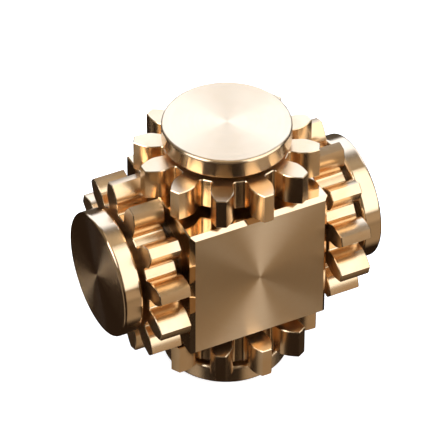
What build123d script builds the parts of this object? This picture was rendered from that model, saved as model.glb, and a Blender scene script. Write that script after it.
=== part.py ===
from build123d import *

import os
from math import acos, cos, pi, radians, sin, tan

# A desk fidget made of a square brass block ringed by four equal spur gears.
# The gears stand on the block's +X, -X, +Z and -Z sides, at right angles to their neighbours, and mesh
# in a closed ring. Each one turns on a ball bearing held by a round cap whose stem screws into the block.
#
# Units are millimetres. The origin is the middle of the block, and +Y is the plain face-to-face depth.

# ---- driving dimensions -----------------------------------------------------------------------------

# The block is very nearly a cube: square across the gear axes, and slightly shallower along Y.
BLOCK_SIDE = 23.0
BLOCK_DEPTH = 22.7
BLOCK_CHAMFER = 0.65
BLOCK_EDGE_BREAK = 0.2

# The gears, alike on all four sides.
TEETH = 12
MODULE = 2.0
PRESSURE_ANGLE = radians(20)
TOOTH_THICKNESS = 3.4
DEDENDUM = 1.25 * MODULE
ROOT_FILLET = 0.5
GEAR_INNER_FACE = 12.65
GEAR_OUTER_FACE = 17.7
GEAR_EDGE_BREAK = 0.12
FLANK_SPANS = 4

# The caps, measured outwards along each gear axis.
CAP_RADIUS = 9.8
CAP_INNER_FACE = 18.6
CAP_OUTER_FACE = 21.8
CAP_ROUNDING = 0.5
SHOULDER_RADIUS = 4.0
THREAD_RADIUS = 2.5
THREAD_LENGTH = 6.5
THREAD_LEAD_IN = 0.4
TAP_DEPTH = 7.0
TAP_COUNTERSINK = 0.3
JOURNAL_RELIEF = 0.1

# The ball bearing: 1/4 in bore, 1/2 in outside, 3/16 in wide, with ten 1/16 in balls.
BEARING_BORE_RADIUS = 3.175
BEARING_OUTER_RADIUS = 6.35
BEARING_WIDTH = 4.7625
BALL_COUNT = 10
BALL_RADIUS = 0.794
BALL_CLEARANCE = 0.036
RACE_SHOULDER_HEIGHT = 0.26
RACE_EDGE_BREAK = 0.15
SHIELD_THICKNESS = 0.2
SHIELD_RECESS = 0.12
SHIELD_GAP = 0.11
SHIELD_SEAT_DEPTH = 0.32
CAGE_GAP = 0.2
CAGE_BACK = 1.35
CAGE_FRONT = 0.35
POCKET_CLEARANCE = 0.056

# The spacer washer between the block and the bearing's inner race.
SPACER_RADIUS = 4.0
SPACER_BORE_CLEARANCE = 0.025
SPACER_EDGE_BREAK = 0.15

# Outward axis of each gear, and the angle that its first tooth stands at, in degrees from +Y.
# Neighbouring gears are half a tooth apart, so that the teeth of one enter the gaps of the next.
HALF_TOOTH = 180 / TEETH
STATIONS = {
    "top": ((0, 0, 1), 0),
    "bottom": ((0, 0, -1), 0),
    "left": ((-1, 0, 0), HALF_TOOTH),
    "right": ((1, 0, 0), HALF_TOOTH),
}

# ---- derived dimensions -----------------------------------------------------------------------------

PITCH_RADIUS = MODULE * TEETH / 2
BASE_RADIUS = PITCH_RADIUS * cos(PRESSURE_ANGLE)
TIP_RADIUS = PITCH_RADIUS + MODULE
ROOT_RADIUS = PITCH_RADIUS - DEDENDUM
FACE_WIDTH = GEAR_OUTER_FACE - GEAR_INNER_FACE

BEARING_MIDDLE = (GEAR_INNER_FACE + GEAR_OUTER_FACE) / 2
BEARING_INNER_END = BEARING_MIDDLE - BEARING_WIDTH / 2
BEARING_OUTER_END = BEARING_MIDDLE + BEARING_WIDTH / 2
BALL_PITCH_RADIUS = (BEARING_BORE_RADIUS + BEARING_OUTER_RADIUS) / 2
GROOVE_RADIUS = BALL_RADIUS + BALL_CLEARANCE
INNER_LAND_RADIUS = BALL_PITCH_RADIUS - GROOVE_RADIUS + RACE_SHOULDER_HEIGHT
OUTER_LAND_RADIUS = BALL_PITCH_RADIUS + GROOVE_RADIUS - RACE_SHOULDER_HEIGHT
SHIELD_SEAT_RADIUS = OUTER_LAND_RADIUS + SHIELD_SEAT_DEPTH
SHIELD_BORE_RADIUS = INNER_LAND_RADIUS + SHIELD_GAP

BLOCK_FACE = BLOCK_SIDE / 2
AXIAL_SECTION = Plane(origin=(0, 0, BEARING_MIDDLE), x_dir=(1, 0, 0), z_dir=(0, -1, 0))


def station_plane(axis):
    """The plane through the block's middle that faces along a gear axis, with its x along +Y."""
    return Plane(origin=(0, 0, 0), x_dir=(0, 1, 0), z_dir=axis)


def involute(angle):
    """The involute function of an angle in radians."""
    return tan(angle) - angle


def flank_point(radius, side):
    """A point of the involute flank at a radius, on one side (+1 or -1) of a tooth along +X."""
    thickness_angle = TOOTH_THICKNESS / (2 * PITCH_RADIUS)
    angle = side * (thickness_angle + involute(PRESSURE_ANGLE) - involute(acos(BASE_RADIUS / radius)))
    return (radius * cos(angle), radius * sin(angle))


# ---- core block -------------------------------------------------------------------------------------

with BuildPart() as core_block:
    with BuildSketch(Plane.XZ.offset(-BLOCK_DEPTH / 2)):
        Rectangle(BLOCK_SIDE, BLOCK_SIDE)
    extrude(amount=BLOCK_DEPTH)
    face_edges = core_block.edges().group_by(Axis.Y)
    chamfer(face_edges[0] + face_edges[-1], BLOCK_CHAMFER)
    chamfer(core_block.edges().filter_by(Axis.Y), BLOCK_EDGE_BREAK)
    for outward_axis, _ in STATIONS.values():
        with BuildSketch(station_plane(outward_axis).offset(BLOCK_FACE)):
            Circle(THREAD_RADIUS)
        extrude(amount=-TAP_DEPTH, mode=Mode.SUBTRACT)
        mouth_plane = station_plane(outward_axis).offset(BLOCK_FACE)
        with Locations(mouth_plane):
            Cone(
                THREAD_RADIUS,
                THREAD_RADIUS + TAP_COUNTERSINK,
                TAP_COUNTERSINK,
                align=(Align.CENTER, Align.CENTER, Align.MAX),
                mode=Mode.SUBTRACT,
            )

# ---- gear, modelled on the +Z axis ------------------------------------------------------------------

with BuildSketch() as tooth:
    with BuildLine():
        flank_radii = [
            BASE_RADIUS + (TIP_RADIUS - BASE_RADIUS) * step / FLANK_SPANS for step in range(FLANK_SPANS + 1)
        ]
        Spline([flank_point(radius, 1) for radius in flank_radii])
        ThreePointArc(flank_point(TIP_RADIUS, 1), (TIP_RADIUS, 0), flank_point(TIP_RADIUS, -1))
        Spline([flank_point(radius, -1) for radius in reversed(flank_radii)])
        Polyline(flank_point(BASE_RADIUS, -1), (0, 0), flank_point(BASE_RADIUS, 1))
    make_face()

with BuildPart() as gear:
    with BuildSketch(Plane.XY.offset(GEAR_INNER_FACE)) as gear_outline:
        Circle(ROOT_RADIUS)
        with PolarLocations(0, TEETH):
            add(tooth.sketch)
        root_corners = gear_outline.vertices().filter_by(
            lambda corner: abs(Vector(corner.X, corner.Y).length - ROOT_RADIUS) < ROOT_FILLET
        )
        fillet(root_corners, ROOT_FILLET)
        Circle(BEARING_OUTER_RADIUS, mode=Mode.SUBTRACT)
    extrude(amount=FACE_WIDTH)
    end_faces = gear.faces().filter_by(GeomType.PLANE).sort_by(Axis.Z)
    chamfer(end_faces[0].edges() + end_faces[-1].edges(), GEAR_EDGE_BREAK)

# ---- cap: disc, shoulder, journal and threaded end in one turned piece --------------------------------

with BuildPart() as cap:
    with BuildSketch(Plane.XY.offset(CAP_INNER_FACE)):
        Circle(CAP_RADIUS)
    extrude(amount=CAP_OUTER_FACE - CAP_INNER_FACE)
    fillet(cap.edges().filter_by(GeomType.CIRCLE), CAP_ROUNDING)
    with BuildSketch(Plane.XY.offset(CAP_INNER_FACE)):
        Circle(SHOULDER_RADIUS)
    extrude(amount=BEARING_OUTER_END - CAP_INNER_FACE)
    with BuildSketch(Plane.XY.offset(BEARING_OUTER_END)):
        Circle(BEARING_BORE_RADIUS)
    extrude(amount=BLOCK_FACE + JOURNAL_RELIEF - BEARING_OUTER_END)
    with BuildSketch(Plane.XY.offset(BLOCK_FACE + JOURNAL_RELIEF)):
        Circle(THREAD_RADIUS)
    extrude(amount=-(THREAD_LENGTH + JOURNAL_RELIEF))
    chamfer(cap.edges().sort_by(Axis.Z)[0], THREAD_LEAD_IN)

# ---- spacer washer ----------------------------------------------------------------------------------

with BuildPart() as spacer:
    with BuildSketch(Plane.XY.offset(BLOCK_FACE)):
        Circle(SPACER_RADIUS)
        Circle(BEARING_BORE_RADIUS + SPACER_BORE_CLEARANCE, mode=Mode.SUBTRACT)
    extrude(amount=BEARING_INNER_END - BLOCK_FACE)
    rim_edges = spacer.edges().filter_by(GeomType.CIRCLE).sort_by(SortBy.RADIUS)[-2:]
    chamfer(rim_edges, SPACER_EDGE_BREAK)

# ---- ball bearing -----------------------------------------------------------------------------------

with BuildPart() as outer_race:
    with BuildSketch(AXIAL_SECTION):
        with Locations(((OUTER_LAND_RADIUS + BEARING_OUTER_RADIUS) / 2, 0)):
            Rectangle(BEARING_OUTER_RADIUS - OUTER_LAND_RADIUS, BEARING_WIDTH)
        with Locations((BALL_PITCH_RADIUS, 0)):
            Circle(GROOVE_RADIUS, mode=Mode.SUBTRACT)
        for side in (-1, 1):
            with Locations((OUTER_LAND_RADIUS, side * BEARING_WIDTH / 2)):
                Rectangle(
                    2 * (SHIELD_SEAT_RADIUS - OUTER_LAND_RADIUS),
                    2 * (SHIELD_RECESS + SHIELD_THICKNESS),
                    mode=Mode.SUBTRACT,
                )
    revolve(axis=Axis.Z)
    outside_edges = outer_race.edges().filter_by(GeomType.CIRCLE).sort_by(SortBy.RADIUS)[-2:]
    chamfer(outside_edges, RACE_EDGE_BREAK)

with BuildPart() as inner_race:
    with BuildSketch(AXIAL_SECTION):
        with Locations(((BEARING_BORE_RADIUS + INNER_LAND_RADIUS) / 2, 0)):
            Rectangle(INNER_LAND_RADIUS - BEARING_BORE_RADIUS, BEARING_WIDTH)
        with Locations((BALL_PITCH_RADIUS, 0)):
            Circle(GROOVE_RADIUS, mode=Mode.SUBTRACT)
    revolve(axis=Axis.Z)
    bore_edges = inner_race.edges().filter_by(GeomType.CIRCLE).sort_by(SortBy.RADIUS)[:2]
    chamfer(bore_edges, RACE_EDGE_BREAK)

with BuildPart() as balls:
    with Locations((0, 0, BEARING_MIDDLE)):
        with PolarLocations(BALL_PITCH_RADIUS, BALL_COUNT):
            Sphere(BALL_RADIUS)

with BuildPart() as cage:
    cage_bore = INNER_LAND_RADIUS + CAGE_GAP
    cage_rim = OUTER_LAND_RADIUS - CAGE_GAP
    with BuildSketch(Plane.XY.offset(BEARING_MIDDLE - CAGE_BACK)):
        Circle(cage_rim)
        Circle(cage_bore, mode=Mode.SUBTRACT)
    extrude(amount=CAGE_BACK + CAGE_FRONT)
    with Locations((0, 0, BEARING_MIDDLE)):
        with PolarLocations(BALL_PITCH_RADIUS, BALL_COUNT):
            Sphere(BALL_RADIUS + POCKET_CLEARANCE, mode=Mode.SUBTRACT)

shield_ends = {
    "inner": BEARING_INNER_END + SHIELD_RECESS,
    "outer": BEARING_OUTER_END - SHIELD_RECESS - SHIELD_THICKNESS,
}
shields = {}
for end, height in shield_ends.items():
    with BuildPart() as shield:
        with BuildSketch(Plane.XY.offset(height)):
            Circle(SHIELD_SEAT_RADIUS)
            Circle(SHIELD_BORE_RADIUS, mode=Mode.SUBTRACT)
        extrude(amount=SHIELD_THICKNESS)
    shields[end] = shield.part

# ---- one STEP for each piece ------------------------------------------------------------------------

os.makedirs("parts", exist_ok=True)

core_block.part.label = "core_block"
export_step(core_block.part, "parts/core_block.step")

station_pieces = {
    "gear": gear.part,
    "cap": cap.part,
    "spacer": spacer.part,
    "bearing_outer_race": outer_race.part,
    "bearing_inner_race": inner_race.part,
    "bearing_balls": balls.part,
    "bearing_cage": cage.part,
    "bearing_inner_shield": shields["inner"],
    "bearing_outer_shield": shields["outer"],
}

for station, (outward_axis, first_tooth) in STATIONS.items():
    placement = station_plane(outward_axis).location * Rotation(0, 0, first_tooth)
    for piece, solid in station_pieces.items():
        placed = placement * solid
        placed.label = f"{station}_{piece}"
        export_step(placed, f"parts/{station}_{piece}.step")
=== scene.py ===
import bpy
import math
from mathutils import Matrix, Vector


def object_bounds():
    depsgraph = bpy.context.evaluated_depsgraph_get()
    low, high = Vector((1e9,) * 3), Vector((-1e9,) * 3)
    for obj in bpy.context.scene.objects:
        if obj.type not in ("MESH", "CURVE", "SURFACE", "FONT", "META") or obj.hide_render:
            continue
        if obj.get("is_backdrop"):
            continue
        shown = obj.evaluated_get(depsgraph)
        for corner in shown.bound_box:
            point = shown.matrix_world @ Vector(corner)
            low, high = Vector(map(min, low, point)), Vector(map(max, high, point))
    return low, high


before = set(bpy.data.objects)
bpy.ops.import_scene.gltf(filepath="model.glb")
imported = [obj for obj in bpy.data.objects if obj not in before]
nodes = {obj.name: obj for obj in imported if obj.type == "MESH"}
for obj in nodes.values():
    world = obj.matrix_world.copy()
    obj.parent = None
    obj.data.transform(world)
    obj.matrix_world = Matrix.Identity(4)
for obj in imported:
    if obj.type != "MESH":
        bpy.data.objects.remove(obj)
cad_low, cad_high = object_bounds()
scene = bpy.context.scene

STATIONS = ("top", "bottom", "left", "right")
UPRIGHT = ("top", "bottom")
X, Y, Z = 0, 1, 2
GEAR_AXES = (X, Z)
MM = 1000.0


# ---------------------------------------------------------------- node helpers
class Graph:
    """Builds a node tree."""

    def __init__(self, tree):
        self.tree = tree
        tree.nodes.clear()

    def add(self, kind, settings=None, inputs=None):
        """Adds one node and returns it."""
        node = self.tree.nodes.new(kind)
        for key, value in (settings or {}).items():
            setattr(node, key, value)
        for key, value in (inputs or {}).items():
            self.feed(node.inputs[key], value)
        return node

    def feed(self, socket, value):
        """Links an output to a socket, or sets the socket to a plain value."""
        if isinstance(value, bpy.types.NodeSocket):
            self.tree.links.new(value, socket)
        else:
            socket.default_value = value

    def math(self, operation, a, b=0.0):
        node = self.add("ShaderNodeMath", {"operation": operation})
        self.feed(node.inputs[0], a)
        self.feed(node.inputs[1], b)
        return node.outputs[0]

    def smooth(self, value, start, end, low=0.0, high=1.0):
        """A soft step from low at start to high at end."""
        node = self.add("ShaderNodeMapRange", {"interpolation_type": "SMOOTHSTEP"},
                        {"Value": value, "From Min": start, "From Max": end, "To Min": low, "To Max": high})
        return node.outputs["Result"]

    def mix(self, factor, a, b):
        node = self.add("ShaderNodeMix", {"data_type": "RGBA"})
        self.feed(node.inputs["Factor"], factor)
        self.feed(node.inputs[6], a)
        self.feed(node.inputs[7], b)
        return node.outputs[2]

    def noise(self, vector, scale, detail, roughness=0.5):
        node = self.add("ShaderNodeTexNoise", {"noise_dimensions": "3D"},
                        {"Vector": vector, "Scale": scale, "Detail": detail, "Roughness": roughness})
        return node.outputs[0]

    def rings(self, radius, scale, detail, roughness):
        """Noise along a single value, here a radius."""
        node = self.add("ShaderNodeTexNoise", {"noise_dimensions": "1D"},
                        {"W": radius, "Scale": scale, "Detail": detail, "Roughness": roughness})
        return node.outputs[0]


def rgba(red, green, blue):
    return (red, green, blue, 1.0)


# ---------------------------------------------------------------- metals
BRASS = rgba(0.90, 0.67, 0.43)
BRASS_WARM = rgba(0.85, 0.59, 0.34)
BRASS_PALE = rgba(0.92, 0.71, 0.49)
BRASS_CLEAN = rgba(0.88, 0.64, 0.40)
STEEL = rgba(0.60, 0.60, 0.60)
STEEL_DULL = rgba(0.50, 0.49, 0.47)
STEEL_PALE = rgba(0.70, 0.70, 0.71)

# Turning marks and grain, as noise features per millimetre.
FINE_RINGS = 16.0
BROAD_RINGS = 1.6
DRIFT = 0.35
STAIN = 0.16
GRIT = 5.0

# How square to its axis a face is where turning marks start and where they are full.
MARKS_START, MARKS_FULL = 0.93, 0.97

RING_WOBBLE = 0.05
RING_TINT = 0.15
GRIT_TINT = 0.2
FINE_ROUGHNESS = 0.015
BROAD_ROUGHNESS = 0.008
BROAD_RELIEF = 0.15
GRIT_RELIEF = 0.10
RELIEF_DEPTH = 0.00001
# A quarter turn, so that the gloss spreads across the turning marks.
ACROSS_MARKS = 0.25


def metal(name, axis, base, dull, pale, rough, spread, turned, anisotropy, bump, rings_seen=1.0):
    """A machined metal. Flat faces square to axis carry fine concentric turning marks; the rest is polished.

    base, dull and pale are its tones. rough is the roughness off the turned faces, spread its variation, and
    turned the roughness on them. rings_seen scales how far the rings show in tone and gloss.
    """
    material = bpy.data.materials.new(name)
    material.use_nodes = True
    g = Graph(material.node_tree)
    coords = g.add("ShaderNodeTexCoord")
    place = g.add("ShaderNodeVectorMath", {"operation": "SCALE"},
                  {0: coords.outputs["Object"], "Scale": MM}).outputs[0]
    xyz = g.add("ShaderNodeSeparateXYZ", inputs={0: place})
    normal = g.add("ShaderNodeSeparateXYZ", inputs={0: coords.outputs["Normal"]})
    across = [xyz.outputs[i] for i in (X, Y, Z) if i != axis]
    radius = g.math("SQRT", g.math("ADD", g.math("POWER", across[0], 2.0), g.math("POWER", across[1], 2.0)))
    facing = g.smooth(g.math("ABSOLUTE", normal.outputs[axis]), MARKS_START, MARKS_FULL)

    # turning marks by radius, wandering a little round the turn
    drift = g.noise(place, DRIFT, 2.0)
    ring = g.math("ADD", radius, g.math("MULTIPLY", drift, RING_WOBBLE))
    fine = g.rings(ring, FINE_RINGS, 4.0, 0.65)
    broad = g.rings(ring, BROAD_RINGS, 3.0, 0.55)
    stain = g.noise(place, STAIN, 4.0, 0.6)
    grit = g.noise(place, GRIT, 3.0, 0.6)

    tone = g.mix(g.smooth(stain, 0.35, 0.68), dull, base)
    tone = g.mix(g.math("MULTIPLY", g.smooth(grit, 0.45, 0.75), GRIT_TINT), tone, pale)
    bright_rings = g.math("MULTIPLY", facing, g.smooth(broad, 0.40, 0.66))
    tone = g.mix(g.math("MULTIPLY", bright_rings, RING_TINT * rings_seen), tone, pale)

    wear = g.smooth(grit, 0.30, 0.75, rough - spread, rough + spread)
    fine_spread, broad_spread = FINE_ROUGHNESS * rings_seen, BROAD_ROUGHNESS * rings_seen
    marks = g.smooth(fine, 0.30, 0.70, turned - fine_spread, turned + fine_spread)
    marks = g.math("ADD", marks, g.smooth(broad, 0.35, 0.70, -broad_spread, broad_spread))
    roughness = g.add("ShaderNodeMix", {"data_type": "FLOAT"}, {0: facing, 2: wear, 3: marks}).outputs[0]

    height = g.math("MULTIPLY", facing, g.math("ADD", fine, g.math("MULTIPLY", broad, BROAD_RELIEF)))
    height = g.math("ADD", height, g.math("MULTIPLY", grit, GRIT_RELIEF))
    relief = g.add("ShaderNodeBump", inputs={"Strength": bump, "Distance": RELIEF_DEPTH, "Height": height})
    tangent = g.add("ShaderNodeTangent", {"direction_type": "RADIAL", "axis": "XYZ"[axis]})
    shader = g.add("ShaderNodeBsdfPrincipled", inputs={
        "Base Color": tone, "Metallic": 1.0, "Roughness": roughness, "Anisotropic": anisotropy,
        "Anisotropic Rotation": ACROSS_MARKS, "Tangent": tangent.outputs[0], "Normal": relief.outputs[0]})
    output = g.add("ShaderNodeOutputMaterial")
    g.tree.links.new(shader.outputs[0], output.inputs["Surface"])
    return material


def brass(name, axis, rough, turned, anisotropy, bump=0.25, dull=BRASS_WARM, rings_seen=1.0):
    return metal(name, axis, BRASS, dull, BRASS_PALE, rough, 0.02, turned, anisotropy, bump, rings_seen)


def steel(name, axis, rough, turned, bump=0.2):
    return metal(name, axis, STEEL, STEEL_DULL, STEEL_PALE, rough, 0.05, turned, 0.5, bump)


def paint(node, material):
    for slot in nodes[node].material_slots:
        slot.material = material


block_brass = brass("block_turned_brass", Y, rough=0.10, turned=0.36, anisotropy=0.95, bump=0.12,
                    dull=BRASS_CLEAN)
# The side caps' rims are polished brighter than the upright ones'.
cap_brass = {
    axis: brass(f"cap_turned_brass_{'xyz'[axis]}", axis, rough, turned=0.24, anisotropy=0.95, bump=0.08,
                dull=BRASS_CLEAN)
    for axis, rough in ((X, 0.15), (Z, 0.24))}
gear_brass = {
    axis: brass(f"gear_satin_brass_{'xyz'[axis]}", axis, rough=0.24, turned=0.28, anisotropy=0.3, bump=0.04,
                rings_seen=0.3)
    for axis in GEAR_AXES}
spacer_brass = {
    axis: brass(f"spacer_brass_{'xyz'[axis]}", axis, rough=0.18, turned=0.28, anisotropy=0.5)
    for axis in GEAR_AXES}
race_steel = {
    axis: steel(f"ground_steel_{'xyz'[axis]}", axis, rough=0.14, turned=0.22) for axis in GEAR_AXES}
shield_steel = {
    axis: steel(f"pressed_steel_{'xyz'[axis]}", axis, rough=0.24, turned=0.32) for axis in GEAR_AXES}
ball_steel = steel("lapped_steel", Z, rough=0.06, turned=0.06, bump=0.05)

paint("core_block", block_brass)
for station in STATIONS:
    axis = Z if station in UPRIGHT else X
    paint(f"{station}_cap", cap_brass[axis])
    paint(f"{station}_gear", gear_brass[axis])
    paint(f"{station}_spacer", spacer_brass[axis])
    for race in ("inner_race", "outer_race"):
        paint(f"{station}_bearing_{race}", race_steel[axis])
    for sheet_part in ("inner_shield", "outer_shield", "cage"):
        paint(f"{station}_bearing_{sheet_part}", shield_steel[axis])
    paint(f"{station}_bearing_balls", ball_steel)


# ---------------------------------------------------------------- floor and backdrop
STAGE_RADIUS = 2.4
FLOOR_GAP = 0.00005
FLOOR_SEGMENTS = 96
DOME_RINGS, DOME_SEGMENTS = 24, 64


def circle(radius, height, segments):
    return [(radius * math.cos(math.tau * i / segments), radius * math.sin(math.tau * i / segments), height)
            for i in range(segments)]


def surface(name, points, faces, material):
    """A mesh object for the stage."""
    mesh = bpy.data.meshes.new(name)
    mesh.from_pydata(points, [], faces)
    mesh.materials.append(material)
    obj = bpy.data.objects.new(name, mesh)
    scene.collection.objects.link(obj)
    return obj


def plain(name, colour, roughness, glow):
    """A plain surface that also gives off white light."""
    material = bpy.data.materials.new(name)
    material.use_nodes = True
    g = Graph(material.node_tree)
    shader = g.add("ShaderNodeBsdfPrincipled", inputs={
        "Base Color": colour, "Roughness": roughness, "Emission Color": rgba(1.0, 1.0, 1.0),
        "Emission Strength": glow})
    output = g.add("ShaderNodeOutputMaterial")
    g.tree.links.new(shader.outputs[0], output.inputs["Surface"])
    return material


floor = surface("floor", circle(STAGE_RADIUS, cad_low.z - FLOOR_GAP, FLOOR_SEGMENTS),
                [tuple(range(FLOOR_SEGMENTS))],
                plain("pale_floor", rgba(0.90, 0.90, 0.90), roughness=0.9, glow=0.75))
floor.visible_glossy = False
floor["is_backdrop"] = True

dome_points, dome_faces = [], []
for i in range(DOME_RINGS + 1):
    tilt = math.pi / 2 * i / DOME_RINGS
    dome_points += circle(STAGE_RADIUS * math.cos(tilt), cad_low.z + STAGE_RADIUS * math.sin(tilt),
                          DOME_SEGMENTS)
for i in range(DOME_RINGS):
    lower, upper = i * DOME_SEGMENTS, (i + 1) * DOME_SEGMENTS
    for j in range(DOME_SEGMENTS):
        k = (j + 1) % DOME_SEGMENTS
        dome_faces.append((lower + j, lower + k, upper + k, upper + j))
backdrop = surface("backdrop", dome_points, dome_faces,
                   plain("pale_backdrop", rgba(0.0, 0.0, 0.0), roughness=1.0, glow=1.05))
for ray in ("visible_glossy", "visible_diffuse", "visible_transmission", "visible_shadow"):
    setattr(backdrop, ray, False)
backdrop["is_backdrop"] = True

# ---------------------------------------------------------------- lights
SOFTBOX_SIZE = 1.6
SOFTBOX_HEIGHT = 1.5
SOFTBOX_POWER = 22.0

softbox_data = bpy.data.lights.new("overhead_softbox", "AREA")
softbox_data.shape = "DISK"
softbox_data.size = SOFTBOX_SIZE
softbox_data.energy = SOFTBOX_POWER
softbox = bpy.data.objects.new("overhead_softbox", softbox_data)
softbox.location = (0.0, 0.0, SOFTBOX_HEIGHT)
softbox.visible_glossy = False
softbox.visible_camera = False
scene.collection.objects.link(softbox)

# The room that the metal reflects: soft panels by direction, each laid over the ones before it. Azimuth 0 is
# the front (-Y), 90 the right (+X) and 180 the back. A half width of 180 goes all the way round.
ALL_ROUND = 180.0
PANELS = (
    # azimuth, half width, elevation from, to, edge softness, colour, strength
    # the room above the horizon, and its warm ceiling
    (0.0, ALL_ROUND, 0.0, 95.0, 8.0, (1.00, 0.84, 0.66), 0.17),
    (0.0, ALL_ROUND, 66.0, 95.0, 8.0, (1.00, 0.87, 0.67), 0.58),
    # the big softboxes behind and at the front right, and the front one's glow on the table
    (149.0, 56.0, 8.0, 52.0, 14.0, (0.84, 1.00, 1.32), 1.64),
    (41.0, 33.0, 0.0, 68.0, 4.0, (0.95, 1.00, 1.05), 1.80),
    (37.0, 32.0, -22.0, 0.0, 14.0, (1.00, 0.80, 0.59), 0.46),
    (37.0, 32.0, -62.0, -20.0, 14.0, (1.00, 0.78, 0.55), 0.33),
    # the small bright softbox on the left, and light on the table at the left and left back
    (-82.0, 21.0, 26.0, 58.0, 4.0, (0.95, 1.00, 1.06), 4.40),
    (-127.0, 4.0, -32.0, -24.0, 4.0, (1.00, 0.90, 0.78), 2.40),
    (-85.0, 14.0, -60.0, -6.0, 10.0, (1.00, 0.87, 0.72), 0.36),
    # a faint light low down at the back
    (160.0, 12.0, -55.0, 10.0, 10.0, (1.00, 0.90, 0.78), 0.10),
)
AMBIENT = (0.022, 0.014, 0.009)

world = bpy.data.worlds.new("studio")
scene.world = world
world.use_nodes = True
g = Graph(world.node_tree)
direction = g.add("ShaderNodeSeparateXYZ", inputs={0: g.add("ShaderNodeTexCoord").outputs["Generated"]})
east, north, height = direction.outputs
elevation = g.math("DEGREES", g.math("ARCSINE", height))
light = rgba(*AMBIENT)
for azimuth, half_width, low, high, soft, colour, strength in PANELS:
    edge = soft / 2
    mask = g.smooth(elevation, low - edge, low + edge)
    mask = g.math("MULTIPLY", mask, g.smooth(elevation, high - edge, high + edge, 1.0, 0.0))
    if half_width < ALL_ROUND:
        a = math.radians(azimuth)
        along = g.math("ADD", g.math("MULTIPLY", east, math.sin(a)), g.math("MULTIPLY", north, -math.cos(a)))
        aside = g.math("ADD", g.math("MULTIPLY", east, math.cos(a)), g.math("MULTIPLY", north, math.sin(a)))
        turn = g.math("ABSOLUTE", g.math("DEGREES", g.math("ARCTAN2", aside, along)))
        mask = g.math("MULTIPLY", mask, g.smooth(turn, half_width - edge, half_width + edge, 1.0, 0.0))
    light = g.mix(mask, light, rgba(*[strength * c for c in colour]))
background = g.add("ShaderNodeBackground", inputs={"Color": light, "Strength": 1.0})
output = g.add("ShaderNodeOutputWorld")
g.tree.links.new(background.outputs[0], output.inputs["Surface"])

# ---------------------------------------------------------------- camera
CAMERA_AZIMUTH = math.radians(-26.91)
CAMERA_ELEVATION = math.radians(39.59)
CAMERA_ROLL = math.radians(0.29)
CAMERA_DISTANCE = 0.597
CAMERA_LENS = 314.85
CAMERA_SENSOR = 36.0
AIM_LEFT, AIM_UP = 0.000335, 0.001493

back = Vector((math.sin(CAMERA_AZIMUTH) * math.cos(CAMERA_ELEVATION),
               -math.cos(CAMERA_AZIMUTH) * math.cos(CAMERA_ELEVATION), math.sin(CAMERA_ELEVATION)))
level = Vector((math.cos(CAMERA_AZIMUTH), math.sin(CAMERA_AZIMUTH), 0.0))
steep = back.cross(level)
right = math.cos(CAMERA_ROLL) * level + math.sin(CAMERA_ROLL) * steep
up = math.cos(CAMERA_ROLL) * steep - math.sin(CAMERA_ROLL) * level
position = back * CAMERA_DISTANCE - right * AIM_LEFT + up * AIM_UP

camera_data = bpy.data.cameras.new("camera")
camera_data.sensor_width = CAMERA_SENSOR
camera_data.lens = CAMERA_LENS
camera_data.clip_start, camera_data.clip_end = 0.05, 10.0
camera = bpy.data.objects.new("camera", camera_data)
camera.matrix_world = Matrix.Translation(position) @ Matrix((right, up, back)).transposed().to_4x4()
scene.collection.objects.link(camera)
scene.camera = camera
scene.view_settings.view_transform = "Standard"

low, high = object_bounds()
